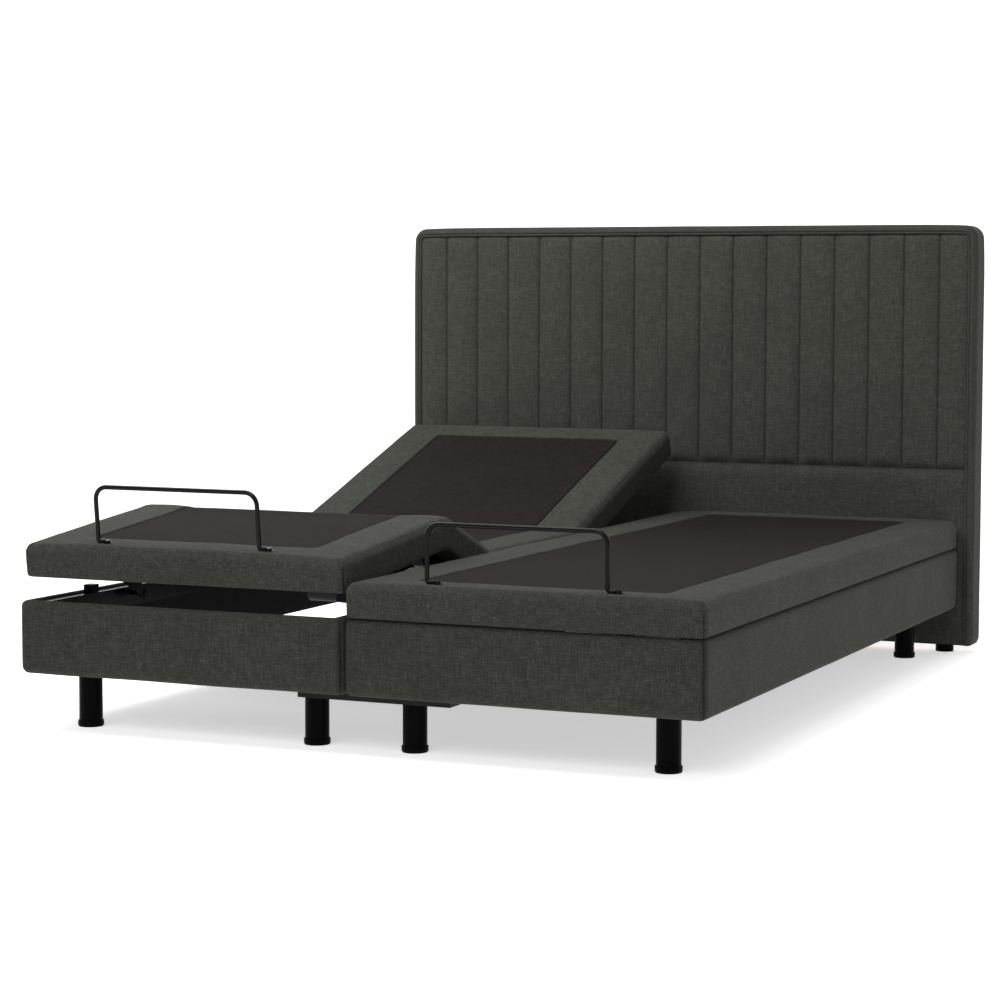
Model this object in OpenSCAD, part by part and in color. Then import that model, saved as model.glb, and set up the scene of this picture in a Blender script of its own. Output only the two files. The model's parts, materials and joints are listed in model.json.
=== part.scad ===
// Adjustable bed base for two sleepers: two powered single units joined side by side,
// each with a lifting back section and a lifting leg section, and one shared headboard.
// X runs across the bed, +Y towards the headboard, +Z up. The origin is on the floor,
// in the middle of the whole outline. Lengths are counted from the foot end of the units.

/* [Units] */
// Width taken by one single unit, side by side
unit_w = 800; // [780:1:900]
// Length of one unit from foot rail to head rail
base_len = 2030; // [2000:1:2100]
// Height of the base box's lower edge above the floor
base_clear = 124; // [100:1:130]
// Height of the upholstered base rails
rail_h = 161; // [155:1:170]
// Thickness of the upholstered base rails
rail_t = 24; // [20:1:26]
// Thickness of the padded mattress sections
deck_t = 76; // [70:1:80]
// Gap between the two units
unit_gap = 3; // [2:0.5:5]

/* [Sections] */
// Distance from the foot end to the knee hinge
knee_y = 493; // [480:1:500]
// Distance from the foot end to the hinge between thigh and seat
thigh_hinge_y = 750; // [745:1:760]
// Distance from the foot end to the hinge between seat and back
head_hinge_y = 1286; // [1280:1:1330]
// Width of the non-slip field on each section
field_w = 552; // [500:2:600]
// Padded border at the foot end of the field
foot_border = 104; // [80:1:120]
// Padded border at the head end of the field
head_border = 90; // [80:1:110]

/* [Pose] */
// Lift of the left unit's back section
left_head_angle = 18.5; // [0:0.5:60]
// Lift of the left unit's thigh section
left_thigh_angle = 22.1; // [0:0.1:32]
// Lift of the right unit's back section
right_head_angle = 0; // [0:1:60]
// Lift of the right unit's thigh section
right_thigh_angle = 0; // [0:0.1:32]

/* [Legs] */
// Distance from the foot end to the front legs
front_leg_y = 107; // [90:1:120]
// Distance from the foot end to the rear legs
rear_leg_y = 1918; // [1900:1:1950]
// Distance of each leg from the middle of its unit
leg_x = 284; // [280:1:290]
// Diameter of a leg tube
leg_d = 52; // [45:1:55]
// Height of the plastic cap under a leg
leg_cap_h = 13; // [10:1:16]

/* [Headboard] */
// Overall width of the headboard
headboard_w = 1674; // [1640:1:1720]
// Height of the headboard's top edge above the floor
headboard_top = 1156; // [1050:1:1250]
// Overall thickness of the headboard
headboard_depth = 90; // [80:1:100]
// Height of the headboard's lower edge above the floor
headboard_clear = 22; // [15:1:30]
// Height where the channelled field ends and the plain band begins
channel_bottom = 499; // [450:1:550]
// Width of the padded frame around the headboard
headboard_border_w = 22; // [20:1:40]

/* [Hidden] */
$fn = 48;

headboard_gap = 10;
overall_len = base_len + headboard_gap + headboard_depth;
foot_y = -overall_len / 2;
headboard_y = base_len + headboard_gap;

// Half widths are measured from the middle of one unit.
rail_out = unit_w / 2 - unit_gap / 2;
rail_in = rail_out - rail_t;
deck_half = rail_out - 1;
base_top = base_clear + rail_h;
deck_z0 = base_top + 1;
deck_top = deck_z0 + deck_t;
field_recess = 3;
field_t = 1.5;

// Main tubes lie against the inside of the side rails.
main_tube_w = 22;
main_tube_h = 45;
main_tube_top = base_top - 5;
main_in = rail_in - main_tube_w;
main_tube_z0 = main_tube_top - main_tube_h;

// Swinging tubes carry the padded sections, with their hinge axis at mid height.
frame_h = 40;
frame_w = 28;
frame_top = deck_z0;
hinge_z = frame_top - frame_h / 2;
frame_out = main_in - 6;
frame_in = frame_out - frame_w;
inner_frame_out = frame_in - 6;
inner_frame_in = inner_frame_out - frame_w;
bar_w = 30;
bar_h = 30;
weld_gap = 0.5;
pin_r = 6;
pin_play = 0.08;
pin_bore_r = pin_r + pin_play;

// Padded sections end in slanted faces that meet at the top of the travel.
head_bevel = 30.5;
thigh_bevel = 16.5;
end_gap = 2;
knee_gap = 1.5;
head_end = base_len - 4;
foot_end = 2;

// The calf section stays nearly level: it turns back against the thigh.
knee_ratio = 1.26;
link_ratio = 1.37;
link_reach = 250;
link_pivot_y = 388;
link_pivot_z = hinge_z - 2;
link_len = 145;
link_lean = 0.6;
link_pin_r = 5;
link_hole_r = 6.8;
link_t = 8;
link_h = 26;
link_x = frame_in - 2;
link_pin_end = link_x + link_t + 2;

// Crossbars that tie each pair of swinging tubes, counted from a hinge or an end.
head_bar_first = 56;
head_bar_second = 340;
head_bar_last = 51;
head_tube_short = 36;
thigh_bar_back = 55;
thigh_bar_front = 62;
foot_tube_start = 215;
foot_bar_front = 240;
foot_bar_rear = 392;

// Headed hinge pins
pin_shank_in = 2.5;
pin_head_t = 2;
pin_head_r = 9;

// Linear drives: one pushes the back section, one pushes the thigh section.
drive_x = 90;
lug_reach = 108;
head_lug_angle = -104;
thigh_lug_angle = -100;
head_drive_back = 341;
head_drive_drop = 41;
head_drive_lean = -12.58;
head_drive_ratio = 0.118;
head_drive_travel = 98.5;
head_drive_len = 322.6;
leg_drive_back = 320;
leg_drive_drop = 45;
leg_drive_lean = -11.9;
leg_drive_ratio = 0.089;
leg_drive_travel = 103.8;
leg_drive_len = 307.8;
rod_len = 205;
rod_r = 12.5;
rod_neck_len = 32;
rod_neck_r = 8.5;
drive_tube_r = 22;
drive_tube_end = 256;
gearbox_start = 18;
gearbox_end = 86;
gearbox_half = 30;
drive_motor_r = 28;
drive_motor_len = 90;
eye_r = 13;
eye_w = 20;
lug_gap = 22;
lug_t = 6;
slot_half = 8.2;
slot_in = 11.5;
slot_out = 15;
lug_margin = 7;

// Crossbars of the fixed frame, counted from the foot end.
seat_bar_front_y = 805;
head_drive_bar_y = 917;
leg_drive_bar_y = 1060;
seat_bar_rear_y = 1240;
leg_bar_top = main_tube_z0;

// Blocks that the lowered sections rest on stand on the main tubes.
foot_post_y = 233;
head_post_y = 1900;
post_len = 28;
post_h = 19;
post_play = 3;

// Each leg carries a post and a mounting plate of the fixed frame.
leg_plate_half_x = 45;
leg_plate_half_y = 35;
leg_plate_t = 6;
leg_post_half_x = 20;
leg_post_half_y = 15;
leg_cap_r = 28.5;
leg_cap_taper = 1.5;

// Connecting tubes lie between the inner legs and the two units.
connector_left = 150;
connector_right = 209;
connector_w = 50;
connector_h = 22;

// Control unit on the rear side of the leg drive's crossbar
control_half_w = 50;
control_len = 140;
control_h = 50;
control_drop = 4;
inlet_half_w = 14;
inlet_depth = 15;
inlet_h = 20;
inlet_drop = 20;

// The retainer bar keeps the mattress from sliding off the foot end.
// Both of its feet reach the same way, to bolts that sit evenly on the section.
bar_y = 40;
bar_half = 200;
bar_rise = 131;
bar_r = 5;
bar_bend = 28;
foot_bend = 8;
foot_reach = 24;
bolt_r = 3;
bolt_play = 0.05;
bolt_deep = 18;
bolt_head_r = 6;
bolt_head_h = 5;
eyelet_r = 9;
eyelet_t = 4;

// Places one unit: its middle plane and its foot end.
module in_unit(side) {
    translate([side * unit_w / 2, foot_y, 0]) children();
}

module both_units() {
    for (side = [-1, 1]) in_unit(side) children();
}

module both_sides() {
    for (side = [-1, 1]) scale([side, 1, 1]) children();
}

// A box given by its two corners.
module box(low, high) {
    translate(low) cube(high - low);
}

// A rod along X between two X values.
module rod_x(x0, x1, y, z, r) {
    translate([x0, y, z]) rotate([0, 90, 0]) cylinder(r = r, h = x1 - x0);
}

// A plate across X whose outline is drawn in Y and Z.
module plate_x(x0, thickness) {
    translate([x0, 0, 0]) rotate([90, 0, 90]) linear_extrude(thickness) children();
}

module turn_about(y, z, angle) {
    translate([0, y, z]) rotate([angle, 0, 0]) translate([0, -y, -z]) children();
}

module head_swing(angle) {
    turn_about(head_hinge_y, hinge_z, angle) children();
}

module thigh_swing(angle) {
    turn_about(thigh_hinge_y, hinge_z, -angle) children();
}

module foot_swing(angle) {
    thigh_swing(angle) turn_about(knee_y, hinge_z, knee_ratio * angle) children();
}

// Upholstered rails of the base box
module end_rails() {
    color([0.24, 0.24, 0.22]) {
        box([-rail_out, 0, base_clear], [rail_out, rail_t, base_top]);
        box([-rail_out, base_len - rail_t, base_clear], [rail_out, base_len, base_top]);
    }
}

module side_rails() {
    color([0.24, 0.24, 0.22]) both_sides()
        box([rail_in, rail_t, base_clear], [rail_out, base_len - rail_t, base_top]);
}

// Steel frame inside the base box
module main_tubes() {
    color([0.06, 0.06, 0.06]) both_sides()
        box([main_in, rail_t, main_tube_z0], [rail_in, base_len - rail_t, main_tube_top]);
}

module seat_crossbar(y) {
    box([-main_in, y - bar_w / 2, frame_top - bar_h], [main_in, y + bar_w / 2, frame_top]);
}

module leg_crossbar(y) {
    box([-rail_in, y - bar_w / 2, leg_bar_top - bar_h], [rail_in, y + bar_w / 2, leg_bar_top]);
}

// Two ears under a crossbar with the pin that a drive's rear eye turns on
module drive_ears(x, bar_at, eye_y, eye_z) {
    toward = eye_y > bar_at ? 1 : -1;
    round_r = 12;
    for (ear = [x - lug_gap / 2 - lug_t, x + lug_gap / 2])
        plate_x(ear, lug_t) {
            polygon([
                [bar_at - toward * (bar_w / 2 - 5), frame_top - bar_h],
                [bar_at + toward * bar_w / 2, frame_top - bar_h],
                [eye_y + toward * round_r, eye_z],
                [eye_y, eye_z - round_r],
                [eye_y - toward * round_r, eye_z]]);
            translate([eye_y, eye_z]) circle(r = round_r);
        }
    rod_x(x - lug_gap / 2 - lug_t, x + lug_gap / 2 + lug_t, eye_y, eye_z, pin_r);
}

module crossbars() {
    color([0.06, 0.06, 0.06]) {
        seat_crossbar(seat_bar_front_y);
        seat_crossbar(head_drive_bar_y);
        seat_crossbar(leg_drive_bar_y);
        seat_crossbar(seat_bar_rear_y);
        leg_crossbar(front_leg_y);
        leg_crossbar(rear_leg_y);
        drive_ears(-drive_x, head_drive_bar_y, head_hinge_y - head_drive_back, hinge_z - head_drive_drop);
        drive_ears(drive_x, leg_drive_bar_y, thigh_hinge_y + leg_drive_back, hinge_z - leg_drive_drop);
    }
}

// Uprights and mounting plates that pass the load down to the legs
module leg_posts() {
    color([0.06, 0.06, 0.06])
        for (x = [-leg_x, leg_x], y = [front_leg_y, rear_leg_y]) {
            box([x - leg_post_half_x, y - leg_post_half_y, base_clear + leg_plate_t],
                [x + leg_post_half_x, y + leg_post_half_y, leg_bar_top - bar_h]);
            box([x - leg_plate_half_x, y - leg_plate_half_y, base_clear],
                [x + leg_plate_half_x, y + leg_plate_half_y, base_clear + leg_plate_t]);
        }
}

// Padded sections
module deck_block(y0, y1) {
    box([-deck_half, y0, deck_z0], [deck_half, y1, deck_top]);
}

// Recess for the non-slip field
module field_cut(y0, y1) {
    box([-field_w / 2, y0, deck_top - field_recess], [field_w / 2, y1, deck_top + 1]);
}

// Removes everything past a slanted end face. The face leans away from a hinge axis.
module slant_cut(hinge_y, bevel, toward) {
    depth = 150;
    translate([0, hinge_y + toward * end_gap, hinge_z])
        rotate([-toward * bevel, 0, 0])
            box([-unit_w, toward > 0 ? -depth : 0, -depth], [unit_w, toward > 0 ? 0 : depth, depth]);
}

// Sockets that take the rest posts when a section lies flat
module post_sockets(y) {
    half = post_len / 2 + post_play;
    both_sides()
        box([main_in - post_play, y - half, deck_z0 - 1], [rail_in + post_play, y + half, deck_z0 + 16]);
}

module seat_deck() {
    color([0.30, 0.30, 0.28]) difference() {
        deck_block(thigh_hinge_y, head_hinge_y);
        slant_cut(thigh_hinge_y, thigh_bevel, 1);
        slant_cut(head_hinge_y, head_bevel, -1);
        field_cut(thigh_hinge_y - 1, head_hinge_y + 1);
    }
}

module head_deck() {
    color([0.30, 0.30, 0.28]) difference() {
        deck_block(head_hinge_y, head_end);
        slant_cut(head_hinge_y, head_bevel, 1);
        field_cut(head_hinge_y - 1, head_end - head_border);
        post_sockets(head_post_y);
    }
}

module thigh_deck() {
    color([0.30, 0.30, 0.28]) difference() {
        deck_block(knee_y + knee_gap, thigh_hinge_y);
        slant_cut(thigh_hinge_y, thigh_bevel, -1);
        field_cut(knee_y - 1, thigh_hinge_y + 1);
    }
}

module foot_deck() {
    color([0.30, 0.30, 0.28]) difference() {
        deck_block(foot_end, knee_y - knee_gap);
        field_cut(foot_border, knee_y + 1);
        post_sockets(foot_post_y);
        for (x = [-bar_half, bar_half])
            translate([x, bar_y, deck_top - bolt_deep - 2])
                cylinder(r = bolt_r + bolt_play, h = bolt_deep + 3);
    }
}

// Non-slip fabric fields, one per section
module field(y0, y1) {
    color([0.20, 0.18, 0.18])
        box([-field_w / 2, y0, deck_top - field_recess],
            [field_w / 2, y1, deck_top - field_recess + field_t]);
}

head_slant = end_gap + 1 + (deck_top - hinge_z) * tan(head_bevel);
thigh_slant = end_gap + 1 + (deck_top - hinge_z) * tan(thigh_bevel);

module seat_panel() {
    field(thigh_hinge_y + thigh_slant, head_hinge_y - head_slant);
}

module head_panel() {
    field(head_hinge_y + head_slant, head_end - head_border);
}

module thigh_panel() {
    field(knee_y + knee_gap + 1, thigh_hinge_y - thigh_slant);
}

module foot_panel() {
    field(foot_border, knee_y - knee_gap - 1);
}

// A swinging tube: square end at one side, round hinge end with a bore at the other
module hinge_tube(x_in, x_out, y_free, y_pivot) {
    difference() {
        union() {
            box([x_in, min(y_free, y_pivot), hinge_z - frame_h / 2],
                [x_out, max(y_free, y_pivot), hinge_z + frame_h / 2]);
            rod_x(x_in, x_out, y_pivot, hinge_z, frame_h / 2);
        }
        rod_x(x_in - 1, x_out + 1, y_pivot, hinge_z, pin_bore_r);
    }
}

module frame_bar(y, half) {
    box([-half + weld_gap, y - bar_w / 2, frame_top - bar_h], [half - weld_gap, y + bar_w / 2, frame_top]);
}

// Lug pair that a drive pushes on. The slot runs towards the hinge, so the pushing pin can
// wander a little as the section swings.
module lug_outline(bar_y_mid, hinge_y, reach_y, reach_z) {
    out_y = reach_y / lug_reach;
    out_z = reach_z / lug_reach;
    by = hinge_y + reach_y;
    bz = hinge_z + reach_z;
    wide = slot_half + lug_margin;
    difference() {
        union() {
            polygon([
                [bar_y_mid - bar_w / 2, frame_top - bar_h],
                [bar_y_mid + bar_w / 2, frame_top - bar_h],
                [by - out_y * slot_in + wide, bz - out_z * slot_in],
                [by - out_y * slot_in - wide, bz - out_z * slot_in]]);
            slot_shape(by, bz, out_y, out_z, wide);
        }
        slot_shape(by, bz, out_y, out_z, slot_half);
    }
}

module slot_shape(y, z, out_y, out_z, r) {
    near = [y - out_y * (slot_in - slot_half), z - out_z * (slot_in - slot_half)];
    far = [y + out_y * (slot_out - slot_half), z + out_z * (slot_out - slot_half)];
    across = [-out_z * r, out_y * r];
    translate(near) circle(r = r);
    translate(far) circle(r = r);
    polygon([near + across, far + across, far - across, near - across]);
}

module lug_pair(x, bar_y_mid, hinge_y, reach_y, reach_z) {
    for (ear = [x - lug_gap / 2 - lug_t, x + lug_gap / 2])
        plate_x(ear, lug_t) lug_outline(bar_y_mid, hinge_y, reach_y, reach_z);
}

module head_frame() {
    color([0.06, 0.06, 0.06]) {
        both_sides() hinge_tube(frame_in, frame_out, head_end - head_tube_short, head_hinge_y);
        for (y = [head_hinge_y + head_bar_first, head_hinge_y + head_bar_second, head_end - head_bar_last])
            frame_bar(y, frame_in);
        lug_pair(-drive_x, head_hinge_y + head_bar_first, head_hinge_y,
            lug_reach * cos(head_lug_angle), lug_reach * sin(head_lug_angle));
    }
}

// The thigh tubes are bored at the thigh hinge and carry the knee pins on their inner faces.
module thigh_frame() {
    color([0.06, 0.06, 0.06]) {
        both_sides() {
            hinge_tube(frame_in, frame_out, knee_y, thigh_hinge_y);
            rod_x(frame_in, frame_out, knee_y, hinge_z, frame_h / 2);
            rod_x(inner_frame_in - 2, frame_in, knee_y, hinge_z, pin_r);
        }
        for (y = [thigh_hinge_y - thigh_bar_back, knee_y + thigh_bar_front]) frame_bar(y, frame_in);
        lug_pair(drive_x, thigh_hinge_y - thigh_bar_back, thigh_hinge_y,
            -lug_reach * cos(thigh_lug_angle), lug_reach * sin(thigh_lug_angle));
    }
}

module foot_frame() {
    color([0.06, 0.06, 0.06]) {
        both_sides() {
            hinge_tube(inner_frame_in, inner_frame_out, foot_tube_start, knee_y);
            rod_x(inner_frame_out, link_pin_end, knee_y - link_reach, hinge_z, link_pin_r);
        }
        for (y = [foot_bar_front, foot_bar_rear]) frame_bar(y, inner_frame_in);
    }
}

// Side links that hold the calf section up. Their calf end is the open pivot of the linkage.
module foot_links(angle) {
    color([0.06, 0.06, 0.06])
        turn_about(link_pivot_y, link_pivot_z, -(link_lean + link_ratio * angle))
            both_sides() plate_x(link_x, link_t) difference() {
                union() {
                    translate([link_pivot_y - link_len, link_pivot_z - link_h / 2])
                        square([link_len, link_h]);
                    for (y = [link_pivot_y - link_len, link_pivot_y])
                        translate([y, link_pivot_z]) circle(d = link_h);
                }
                translate([link_pivot_y, link_pivot_z]) circle(r = pin_bore_r);
                translate([link_pivot_y - link_len, link_pivot_z]) circle(r = link_hole_r);
            }
}

// Identical headed pins on the main tubes: thigh hinges, back hinges and link pivots
module hinge_pins() {
    color([0.62, 0.62, 0.64])
        both_units() both_sides()
            for (at = [[thigh_hinge_y, hinge_z], [head_hinge_y, hinge_z], [link_pivot_y, link_pivot_z]]) {
                rod_x(frame_in - pin_shank_in, main_in, at[0], at[1], pin_r);
                rod_x(frame_in - pin_shank_in - pin_head_t, frame_in - pin_shank_in,
                    at[0], at[1], pin_head_r);
            }
}

// Drive housing, drawn along +Y from its rear eye
module drive_motor(outward) {
    color([0.10, 0.10, 0.11]) {
        difference() {
            union() {
                rod_x(-eye_w / 2, eye_w / 2, 0, 0, eye_r);
                box([-eye_w / 2, 0, -9], [eye_w / 2, gearbox_start + 1, 9]);
                box([-gearbox_half, gearbox_start, -gearbox_half], [gearbox_half, gearbox_end, gearbox_half]);
                rotate([-90, 0, 0]) cylinder(r = drive_tube_r, h = drive_tube_end);
            }
            rod_x(-eye_w, eye_w, 0, 0, pin_bore_r);
            translate([0, gearbox_end + 8, 0]) rotate([-90, 0, 0])
                cylinder(r = rod_r + pin_play, h = drive_tube_end);
            box([-gearbox_half, -eye_r - 2, -gearbox_half], [-eye_w / 2, gearbox_start, gearbox_half]);
            box([eye_w / 2, -eye_r - 2, -gearbox_half], [gearbox_half, gearbox_start, gearbox_half]);
            box([-gearbox_half, -drive_tube_r - 2, 9], [gearbox_half, gearbox_start, gearbox_half]);
            box([-gearbox_half, -drive_tube_r - 2, -gearbox_half], [gearbox_half, gearbox_start, -9]);
        }
        scale([outward, 1, 1])
            rod_x(gearbox_half, gearbox_half + drive_motor_len,
                (gearbox_start + gearbox_end) / 2, 0, drive_motor_r);
    }
}

// Drive rod with the eye and cross pin that push the lug pair
module drive_rod(eye_at) {
    color([0.62, 0.62, 0.64]) {
        translate([0, eye_at - rod_len, 0]) rotate([-90, 0, 0])
            cylinder(r = rod_r, h = rod_len - rod_neck_len);
        translate([0, eye_at - rod_neck_len - 1, 0]) rotate([-90, 0, 0])
            cylinder(r = rod_neck_r, h = rod_neck_len);
        rod_x(-eye_w / 2, eye_w / 2, eye_at, 0, eye_r);
        rod_x(-lug_gap / 2 - lug_t - 1, lug_gap / 2 + lug_t + 1, eye_at, 0, pin_r);
    }
}

module at_head_drive(angle) {
    translate([-drive_x, head_hinge_y - head_drive_back, hinge_z - head_drive_drop])
        rotate([head_drive_lean + head_drive_ratio * angle, 0, 0]) children();
}

module at_leg_drive(angle) {
    translate([drive_x, thigh_hinge_y + leg_drive_back, hinge_z - leg_drive_drop])
        rotate([-(leg_drive_lean + leg_drive_ratio * angle), 0, 0]) scale([1, -1, 1]) children();
}

function radians(angle) = angle * PI / 180;

// Mattress retainer bar: one bent rod with a small foot at each end
module retainer_bar() {
    top = deck_top + bar_rise - bar_r;
    foot_z = deck_top + bar_r;
    color([0.05, 0.05, 0.05]) translate([-foot_reach, bar_y, 0]) {
        translate([-bar_half + bar_bend, 0, top]) rotate([0, 90, 0])
            cylinder(r = bar_r, h = 2 * (bar_half - bar_bend));
        for (side = [-1, 1]) {
            translate([side * bar_half, 0, foot_z + foot_bend])
                cylinder(r = bar_r, h = top - bar_bend - foot_z - foot_bend);
            translate([side * (bar_half - bar_bend), 0, top - bar_bend])
                rotate([90, side > 0 ? 0 : -90, 0])
                    rotate_extrude(angle = 90) translate([bar_bend, 0]) circle(r = bar_r);
        }
        for (x = [-bar_half, bar_half]) {
            translate([x + foot_bend, 0, foot_z + foot_bend]) rotate([90, 180, 0])
                rotate_extrude(angle = 90) translate([foot_bend, 0]) circle(r = bar_r);
            translate([x + foot_bend, 0, foot_z]) rotate([0, 90, 0])
                cylinder(r = bar_r, h = foot_reach - foot_bend - eyelet_r + 3);
            translate([x + foot_reach, 0, deck_top]) difference() {
                cylinder(r = eyelet_r, h = eyelet_t);
                translate([0, 0, -1]) cylinder(r = bolt_r + bolt_play, h = eyelet_t + 2);
            }
        }
    }
}

module bar_bolts() {
    color([0.05, 0.05, 0.05])
        for (x = [-bar_half, bar_half]) translate([x, bar_y, deck_top]) {
            translate([0, 0, -bolt_deep]) cylinder(r = bolt_r, h = bolt_deep + eyelet_t);
            translate([0, 0, eyelet_t]) cylinder(r = bolt_head_r, h = bolt_head_h);
        }
}

// Legs: the inner ones are shorter because the connecting tubes lie above them.
module each_leg() {
    both_units()
        for (x = [-leg_x, leg_x], y = [front_leg_y, rear_leg_y]) translate([x, y, 0]) children();
}

module legs() {
    color([0.05, 0.05, 0.05])
        for (unit = [-1, 1], side = [-1, 1], y = [front_leg_y, rear_leg_y])
            translate([unit * unit_w / 2 + side * leg_x, foot_y + y, leg_cap_h])
                cylinder(d = leg_d, h = base_clear - leg_cap_h - (unit == side ? 0 : connector_h));
}

module leg_caps() {
    color([0.04, 0.04, 0.04]) each_leg() {
        cylinder(r1 = leg_cap_r - leg_cap_taper, r2 = leg_cap_r, h = 3);
        translate([0, 0, 3]) cylinder(r = leg_cap_r, h = leg_cap_h - 3);
    }
}

// Flat tubes that tie the two units together over the inner legs
module unit_connectors() {
    color([0.05, 0.05, 0.05])
        for (y = [front_leg_y, rear_leg_y])
            box([-connector_left, foot_y + y - connector_w / 2, base_clear - connector_h],
                [connector_right, foot_y + y + connector_w / 2, base_clear]);
}

module rest_posts() {
    color([0.04, 0.04, 0.04]) both_units() both_sides()
        for (y = [foot_post_y, head_post_y])
            box([main_in, y - post_len / 2, main_tube_top],
                [rail_in, y + post_len / 2, main_tube_top + post_h]);
}

// Control unit with its mains inlet at the head-side end
module control_boxes() {
    y0 = leg_drive_bar_y + bar_w / 2;
    y1 = y0 + control_len;
    top = frame_top - control_drop;
    inlet_top = frame_top - inlet_drop;
    color([0.12, 0.12, 0.13]) both_units() difference() {
        box([-control_half_w, y0, top - control_h], [control_half_w, y1, top]);
        box([-inlet_half_w, y1 - inlet_depth, inlet_top - inlet_h], [inlet_half_w, y1 + 1, inlet_top]);
    }
}

// Headboard
module rounded_panel(half_w, z0, z1, corner, y0, y1) {
    translate([0, foot_y + y1, 0]) rotate([90, 0, 0]) linear_extrude(y1 - y0) {
        translate([-half_w, z0]) square([2 * half_w, z1 - z0 - corner]);
        translate([-half_w + corner, z0]) square([2 * (half_w - corner), z1 - z0]);
        for (side = [-1, 1]) translate([side * (half_w - corner), z1 - corner]) circle(r = corner);
    }
}

inner_half = headboard_w / 2 - headboard_border_w;
inner_top = headboard_top - headboard_border_w;
headboard_corner = 45;
inner_corner = headboard_corner - headboard_border_w;
pad_t = 20;
back_t = 12;
foot_inset = 85;
foot_d = 49;
bracket_x = 220;
bracket_half = 30;
bracket_low = 20;
bracket_high = 130;

module headboard_core() {
    color([0.55, 0.42, 0.28])
        rounded_panel(inner_half, headboard_clear, inner_top, inner_corner,
            headboard_y + pad_t, headboard_y + headboard_depth - back_t);
}

module headboard_back() {
    color([0.12, 0.12, 0.12])
        rounded_panel(inner_half, headboard_clear, inner_top, inner_corner,
            headboard_y + headboard_depth - back_t, headboard_y + headboard_depth);
}

module headboard_channel_pad() {
    color([0.24, 0.24, 0.22])
        rounded_panel(inner_half, channel_bottom, inner_top, inner_corner, headboard_y, headboard_y + pad_t);
}

module headboard_lower_pad() {
    color([0.24, 0.24, 0.22])
        translate([0, foot_y, 0])
            box([-inner_half, headboard_y, headboard_clear],
                [inner_half, headboard_y + pad_t, channel_bottom]);
}

module headboard_border() {
    color([0.26, 0.26, 0.24]) difference() {
        rounded_panel(headboard_w / 2, headboard_clear, headboard_top, headboard_corner,
            headboard_y, headboard_y + headboard_depth);
        rounded_panel(inner_half, headboard_clear - 1, inner_top, inner_corner,
            headboard_y - 1, headboard_y + headboard_depth + 1);
    }
}

module headboard_feet() {
    color([0.04, 0.04, 0.04])
        for (side = [-1, 1])
            translate([side * (headboard_w / 2 - foot_inset), foot_y + headboard_y + headboard_depth / 2, 0])
                cylinder(d = foot_d, h = headboard_clear);
}

module headboard_brackets() {
    color([0.05, 0.05, 0.05])
        for (side = [-1, 1], unit = [-1, 1])
            translate([unit * unit_w / 2 + side * bracket_x, foot_y, 0])
                box([-bracket_half, base_len, base_clear + bracket_low],
                    [bracket_half, headboard_y, base_clear + bracket_high]);
}

module left_end_rails() { in_unit(-1) end_rails(); }
module left_side_rails() { in_unit(-1) side_rails(); }
module left_main_tubes() { in_unit(-1) main_tubes(); }
module left_crossbars() { in_unit(-1) crossbars(); }
module left_leg_posts() { in_unit(-1) leg_posts(); }
module left_seat_deck() { in_unit(-1) seat_deck(); }
module left_seat_panel() { in_unit(-1) seat_panel(); }
module left_head_deck() { in_unit(-1) head_swing(left_head_angle) head_deck(); }
module left_head_panel() { in_unit(-1) head_swing(left_head_angle) head_panel(); }
module left_head_frame() { in_unit(-1) head_swing(left_head_angle) head_frame(); }
module left_thigh_deck() { in_unit(-1) thigh_swing(left_thigh_angle) thigh_deck(); }
module left_thigh_panel() { in_unit(-1) thigh_swing(left_thigh_angle) thigh_panel(); }
module left_thigh_frame() { in_unit(-1) thigh_swing(left_thigh_angle) thigh_frame(); }
module left_foot_deck() { in_unit(-1) foot_swing(left_thigh_angle) foot_deck(); }
module left_foot_panel() { in_unit(-1) foot_swing(left_thigh_angle) foot_panel(); }
module left_foot_frame() { in_unit(-1) foot_swing(left_thigh_angle) foot_frame(); }
module left_retainer_bar() { in_unit(-1) foot_swing(left_thigh_angle) retainer_bar(); }
module left_bar_bolts() { in_unit(-1) foot_swing(left_thigh_angle) bar_bolts(); }
module left_foot_links() { in_unit(-1) foot_links(left_thigh_angle); }
module left_head_motor() { in_unit(-1) at_head_drive(left_head_angle) drive_motor(-1); }
module left_head_rod() {
    in_unit(-1) at_head_drive(left_head_angle)
        drive_rod(head_drive_len + head_drive_travel * radians(left_head_angle));
}
module left_leg_motor() { in_unit(-1) at_leg_drive(left_thigh_angle) drive_motor(1); }
module left_leg_rod() {
    in_unit(-1) at_leg_drive(left_thigh_angle)
        drive_rod(leg_drive_len + leg_drive_travel * radians(left_thigh_angle));
}

module right_end_rails() { in_unit(1) end_rails(); }
module right_side_rails() { in_unit(1) side_rails(); }
module right_main_tubes() { in_unit(1) main_tubes(); }
module right_crossbars() { in_unit(1) crossbars(); }
module right_leg_posts() { in_unit(1) leg_posts(); }
module right_seat_deck() { in_unit(1) seat_deck(); }
module right_seat_panel() { in_unit(1) seat_panel(); }
module right_head_deck() { in_unit(1) head_swing(right_head_angle) head_deck(); }
module right_head_panel() { in_unit(1) head_swing(right_head_angle) head_panel(); }
module right_head_frame() { in_unit(1) head_swing(right_head_angle) head_frame(); }
module right_thigh_deck() { in_unit(1) thigh_swing(right_thigh_angle) thigh_deck(); }
module right_thigh_panel() { in_unit(1) thigh_swing(right_thigh_angle) thigh_panel(); }
module right_thigh_frame() { in_unit(1) thigh_swing(right_thigh_angle) thigh_frame(); }
module right_foot_deck() { in_unit(1) foot_swing(right_thigh_angle) foot_deck(); }
module right_foot_panel() { in_unit(1) foot_swing(right_thigh_angle) foot_panel(); }
module right_foot_frame() { in_unit(1) foot_swing(right_thigh_angle) foot_frame(); }
module right_retainer_bar() { in_unit(1) foot_swing(right_thigh_angle) retainer_bar(); }
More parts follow.
